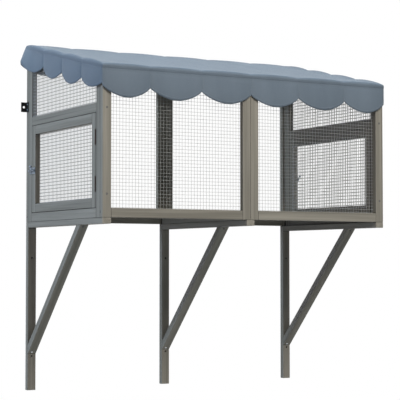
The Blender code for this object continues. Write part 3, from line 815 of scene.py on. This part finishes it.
def canvasFinish(settings):
    material, tree, shader = startMaterial("coatedCanvas", settings["roughness"],
                                           specular=settings["specular"])

    def mapParts(name):
        place = addNode(tree, "ShaderNodeUVMap", uv_map=name).outputs[0]
        return addNode(tree, "ShaderNodeSeparateXYZ", {0: place}).outputs

    def band(value, centre, half):
        away = combineMath(tree, "ABSOLUTE", combineMath(tree, "SUBTRACT", value, centre))
        return combineMath(tree, "LESS_THAN", away, half)

    cut, hem, fall = mapParts("cut"), mapParts("hem"), mapParts("fall")
    turns = 2 * math.pi / settings["thread"]
    warp, weft = [combineMath(tree, "SINE", combineMath(tree, "MULTIPLY", cut[index], turns))
                  for index in (0, 1)]
    weave = combineMath(tree, "MULTIPLY", warp, weft)
    streaks = noiseAt(tree, objectPlace(tree, scale=settings["streaks"]), detail=4, roughness=0.55)
    fibres = noiseAt(tree, objectPlace(tree), detail=2, scale=settings["fibres"])
    tone = weighted(tree, streaks, fibres, settings["streakShare"])
    canvas = mixColour(tree, ramp(tree, tone, settings["fadeStops"]),
                       settings["colour"], settings["faded"])

    # one row of stitches along the hem and one under the roll
    stitchPlace = combineMath(tree, "DIVIDE", hem[0], settings["stitchPitch"])
    dash = combineMath(tree, "LESS_THAN", combineMath(tree, "FRACT", stitchPlace),
                       settings["stitchShare"])
    hemRow = band(hem[1], settings["hemWidth"], settings["stitchHalf"])
    seamRow = band(fall[1], settings["seamDepth"] + settings["stitchBelow"],
                   settings["stitchHalf"])
    stitch = combineMath(tree, "MULTIPLY", combineMath(tree, "MAXIMUM", hemRow, seamRow), dash)
    # the seam under the roll is drawn darker, partly its own colour and partly painted shade in
    # its groove
    seam = band(fall[1], settings["seamDepth"], settings["seamHalf"])
    seamShaded = mixColour(tree, combineMath(tree, "MULTIPLY", seam, settings["seamShadeTone"]),
                       canvas, settings["seam"])
    stitched = mixColour(tree, stitch, seamShaded, settings["stitch"])
    tree.links.new(stitched, shader.inputs["Base Color"])
    layers = {"weave": weave, "stitch": stitch, "seam": seam, "streaks": streaks}
    height = combineMath(tree, "LESS_THAN", hem[1], settings["hemWidth"])
    for name, layer in layers.items():
        height = combineMath(tree, "MULTIPLY_ADD", layer, settings["relief"][name], height)
    addBump(tree, shader, height, *settings["bump"])
    shader.inputs["Sheen Weight"].default_value = settings["sheen"]
    shader.inputs["Sheen Roughness"].default_value = settings["sheenRoughness"]
    return material


makeClothRoof(clothSettings, canvasFinish(canvasSettings))
print("canvas roof made")


# Screws
screwSettings = {
    "timberHead": 0.0038,     # radius of a head
    "plateHead": 0.0021,
    "rings": (0.16, 0.30, 0.44, 0.56, 0.64, 0.8, 0.93, 1.0),   # in radii
    "spokes": 32,
    "proud": 0.0002,          # how far a flat head's rim stands out
    "proudFall": 0.2,         # how much more its middle does, as a share of that
    "dome": 0.45,             # height of a domed head, in radii
    "domeFall": 0.9,          # how much of that is gone at its rim, as a share of the square
    "recess": 0.30,           # depth of the cross, in radii
    "crossArm": 0.15,         # half the width of the cross, in radii
    "crossReach": 0.6,        # length of its arms, in radii
    "shank": 0.0006,          # how far a head goes on below the timber's face
    "smoothAngle": 30,
}


def addScrewHead(bm, place, normal, radius, settings, domed=False):
    # a countersunk or domed head with a cross recess
    spokes = settings["spokes"]
    turn = Vector(normal).to_track_quat("Z", "Y").to_matrix().to_4x4()
    move = Matrix.Translation(place) @ turn
    crown = radius * settings["dome"] if domed else settings["proud"]

    def height(share, angle):
        if domed:
            top = crown * math.sqrt(max(0, 1 - share ** 2 * settings["domeFall"]))
        else:
            top = crown * (1 + settings["proudFall"] - share * settings["proudFall"])
        arm = min(abs(math.sin(angle)), abs(math.cos(angle))) * share
        if share < settings["crossReach"] and arm < settings["crossArm"]:
            top -= settings["recess"] * radius * (1 - share)
        return top

    centre = bm.verts.new(move @ Vector((0, 0, crown - settings["recess"] * radius)))
    previous = None
    for share in settings["rings"]:
        loop = []
        for spoke in range(spokes):
            angle = 2 * math.pi * spoke / spokes
            reach = share * radius
            point = (reach * math.cos(angle), reach * math.sin(angle), height(share, angle))
            loop.append(bm.verts.new(move @ Vector(point)))
        for spoke in range(spokes):
            after = (spoke + 1) % spokes
            if previous:
                bm.faces.new((previous[spoke], loop[spoke], loop[after], previous[after]))
            else:
                bm.faces.new((centre, loop[spoke], loop[after]))
        previous = loop
    down = turn.to_3x3() @ Vector((0, 0, crown + settings["shank"]))
    foot = [bm.verts.new(vert.co - down) for vert in previous]
    for spoke in range(spokes):
        after = (spoke + 1) % spokes
        bm.faces.new((previous[spoke], foot[spoke], foot[after], previous[after]))
    bm.faces.new(list(reversed(foot)))


def linkScrews(name, bm, material, body, settings):
    bmesh.ops.recalc_face_normals(bm, faces=bm.faces)
    linkMesh(name, bm, [material], body, settings["smoothAngle"])


timberScrewPlaces = {
    "stileHeights": (0.389, 0.083),    # up from the cage's bottom
    "cornerHeight": 0.020,
    "cornerDepths": (0.0165, 0.010),   # in from the front and from the wall
    "arm": (0.020, 0.330, 0.638),      # back from the arm's end
    "braceInset": 0.009,      # from a brace's tip to its screw
    "braceAside": 0.002,      # and towards the left
}


def makeTimberScrews(settings, places):
    plain, bright = bmesh.new(), bmesh.new()
    head = settings["timberHead"]
    fromFront, fromWall = places["cornerDepths"]
    for side in sides.values():
        stileX = side * (cageHigh.x - timberWidth / 2)
        for height in places["stileHeights"]:
            place = Vector((stileX, cageLow.y, cageLow.z + height))
            addScrewHead(plain, place, (0, -1, 0), head, settings)
        for y in (cageLow.y + fromFront, cageHigh.y - fromWall):
            place = Vector((side * cageHigh.x, y, cageLow.z + places["cornerHeight"]))
            addScrewHead(plain, place, (side, 0, 0), head, settings)
    for word in ("left", "middle", "right"):
        armLow, armHigh = nodeBox(f"{word}_arm")
        middleX = (armLow.x + armHigh.x) / 2
        for back in places["arm"]:
            place = Vector((middleX, armLow.y + back, armLow.z))
            addScrewHead(plain, place, (0, 0, -1), head, settings)
        # the brace's outer face runs between its two tips
        braceLow, braceHigh = nodeBox(f"{word}_brace")
        tips = (Vector((middleX, braceHigh.y, braceLow.z)),
                Vector((middleX, braceLow.y, braceHigh.z)))
        run = (tips[1] - tips[0]).normalized()
        outward = Vector((0, -run.z, run.y))
        face = max(vert.co.dot(outward) for vert in nodes[f"{word}_brace"].data.vertices)
        aside = Vector((places["braceAside"], 0, 0))
        # the screw at a brace's foot gets the paler zinc, a painted glint; the one at its top is
        # plain grey
        for tip, way, heads in zip(tips, (1, -1), (bright, plain)):
            place = tip + run * way * places["braceInset"] - aside
            onFace = place + outward * (face - place.dot(outward))
            addScrewHead(heads, onFace, outward, head, settings, domed=True)
    linkScrews("timberScrews", plain, metals["greyScrew"], "cage", settings)
    linkScrews("braceScrews", bright, metals["screwZincPaintedGlint"], "cage", settings)


plateScrewPlaces = {
    "boltPlate": 0.0012,      # thickness
    "wallPlate": 0.002,
    "boltInset": 0.0042,      # from the edges of a bolt's plate
    "wallFront": 0.008,       # from a wall plate's front edge
    "wallEnds": 0.009,        # and from its two ends
    "wallHead": 1.3,          # radius there, as a share of the other heads'
}


def plateFace(low, high, side, thickness):
    # the outer face of a plate that lies on the cage's side, apart from its straps and bends
    return (low.x if side > 0 else high.x) + side * thickness


def makePlateScrews(settings, places):
    head = settings["plateHead"]
    inset = places["boltInset"]
    for word, side in sides.items():
        onDoor, onCage = bmesh.new(), bmesh.new()
        for node, bm in ((f"{word}_bolt_plate", onDoor), (f"{word}_bolt_keeper", onCage)):
            low, high = nodeBox(node)
            x = plateFace(low, high, side, places["boltPlate"])
            # four screws in the plate, and two in the narrow keeper
            stations = (low.y + inset, high.y - inset)
            if node.endswith("keeper"):
                stations = ((low.y + high.y) / 2,)
            for y in stations:
                for z in (low.z + inset, high.z - inset):
                    addScrewHead(bm, Vector((x, y, z)), (side, 0, 0), head, settings, domed=True)
        low, high = nodeBox(f"{word}_wall_plate")
        x = plateFace(low, high, side, places["wallPlate"])
        y = low.y + places["wallFront"]
        wallHead = head * places["wallHead"]
        for z in (low.z + places["wallEnds"], high.z - places["wallEnds"]):
            addScrewHead(onCage, Vector((x, y, z)), (side, 0, 0), wallHead, settings, domed=True)
        linkScrews(f"{word}BoltScrews", onDoor, metals["boltZinc"], f"{word}_door", settings)
        linkScrews(f"{word}KeeperScrews", onCage, metals["boltZinc"], "cage", settings)


makeTimberScrews(screwSettings, timberScrewPlaces)
makePlateScrews(screwSettings, plateScrewPlaces)
print("screws made")


# Floor, light and background
lightSettings = {
    "world": 0.03,
    "worldColour": srgb(224, 234, 250),
    "aim": (0, -0.35, 0.65),
    "lamps": {                # place, size, watts, colour
        "keyLight": ((0.0, -5.0, 3.6), 2.0, 247.0, (0.99, 1.0, 0.96)),
        "sideKey": ((-3.6, -4.4, 3.0), 2.0, 28.0, (1.0, 0.85, 0.80)),
        "windowFill": ((-5.0, 0.5, 3.0), 1.6, 148.0, (0.62, 0.85, 1.0)),
        "lowFill": ((-5.0, -0.2, 0.4), 1.4, 56.0, (0.58, 0.66, 1.0)),
        "topLight": ((0.0, -0.4, 5.0), 2.0, 140.0, (0.62, 0.82, 1.0)),
        "rearFill": ((3.2, 3.6, 0.4), 2.0, 60.0, (0.90, 0.95, 1.0)),
    },
}
floorSettings = {
    "tone": srgb(168, 168, 166),
    "half": 14,               # metres from its middle to its edge
    "drop": 0.45,             # from the legs' ends down to the floor
    "shadowShare": 0.84,      # of the background's white, under the object
    "shadowReach": (1.2, 4.5),   # metres over which that fades into the plain white
}
white = (1, 1, 1, 1)


def addLamp(name, place, size, power, colour, target):
    data = bpy.data.lights.new(name, "AREA")
    data.energy = power
    data.size = size
    data.color = colour
    lamp = bpy.data.objects.new(name, data)
    lamp.location = place
    lamp.rotation_euler = (Vector(target) - Vector(place)).to_track_quat("-Z", "Y").to_euler()
    scene.collection.objects.link(lamp)


def lightPathShare(tree):
    # 1 for rays that see the background, directly or in metal and glass
    path = addNode(tree, "ShaderNodeLightPath").outputs
    share = combineMath(tree, "MAXIMUM", path["Is Camera Ray"], path["Is Glossy Ray"])
    return combineMath(tree, "MAXIMUM", share, path["Is Transmission Ray"])


def mixShader(tree, share, first, second):
    values = {0: share, 1: first.outputs[0], 2: second.outputs[0]}
    return addNode(tree, "ShaderNodeMixShader", values)


def makeWorld(settings):
    world = bpy.data.worlds.new("studio")
    world.use_nodes = True
    scene.world = world
    tree = world.node_tree
    tree.nodes.clear()
    dim = addNode(tree, "ShaderNodeBackground",
                  {"Color": settings["worldColour"], "Strength": settings["world"]})
    bright = addNode(tree, "ShaderNodeBackground", {"Color": white, "Strength": 1.0})
    mixed = mixShader(tree, lightPathShare(tree), dim, bright)
    addNode(tree, "ShaderNodeOutputWorld", {0: mixed.outputs[0]})


def makeFloor(settings):
    bm = bmesh.new()
    bmesh.ops.create_grid(bm, x_segments=4, y_segments=4, size=settings["half"])
    mesh = bpy.data.meshes.new("floor")
    bm.to_mesh(mesh)
    bm.free()
    floor = bpy.data.objects.new("floor", mesh)
    floor.location = (0, 0, cadBounds[0][2] - settings["drop"])
    scene.collection.objects.link(floor)
    material, tree, shader = startMaterial("paleFloor", roughness=0.9, specular=0.2)
    shader.inputs["Base Color"].default_value = settings["tone"]
    glow = addNode(tree, "ShaderNodeEmission", {"Color": white, "Strength": 1.0})
    away = addNode(tree, "ShaderNodeVectorMath", {0: objectPlace(tree)},
                   operation="LENGTH").outputs["Value"]
    start, end = settings["shadowReach"]
    fade = addNode(tree, "ShaderNodeMapRange",
                   {"Value": away, "From Min": start, "From Max": end,
                    "To Min": settings["shadowShare"], "To Max": 1.0},
                   interpolation_type="SMOOTHSTEP").outputs["Result"]
    share = combineMath(tree, "MULTIPLY", lightPathShare(tree), fade)
    pale = mixShader(tree, share, shader, glow)
    # one sided, so that a look from below shows the underside of the cage
    behind = addNode(tree, "ShaderNodeNewGeometry").outputs["Backfacing"]
    oneSided = mixShader(tree, behind, pale, addNode(tree, "ShaderNodeBsdfTransparent"))
    output = tree.nodes["Material Output"]
    tree.links.new(oneSided.outputs[0], output.inputs[0])
    mesh.materials.append(material)


makeWorld(lightSettings)
makeFloor(floorSettings)
for lampName, (place, size, power, colour) in lightSettings["lamps"].items():
    addLamp(lampName, place, size, power, colour, lightSettings["aim"])
scene.view_settings.view_transform = "Standard"
print("floor and lights made")
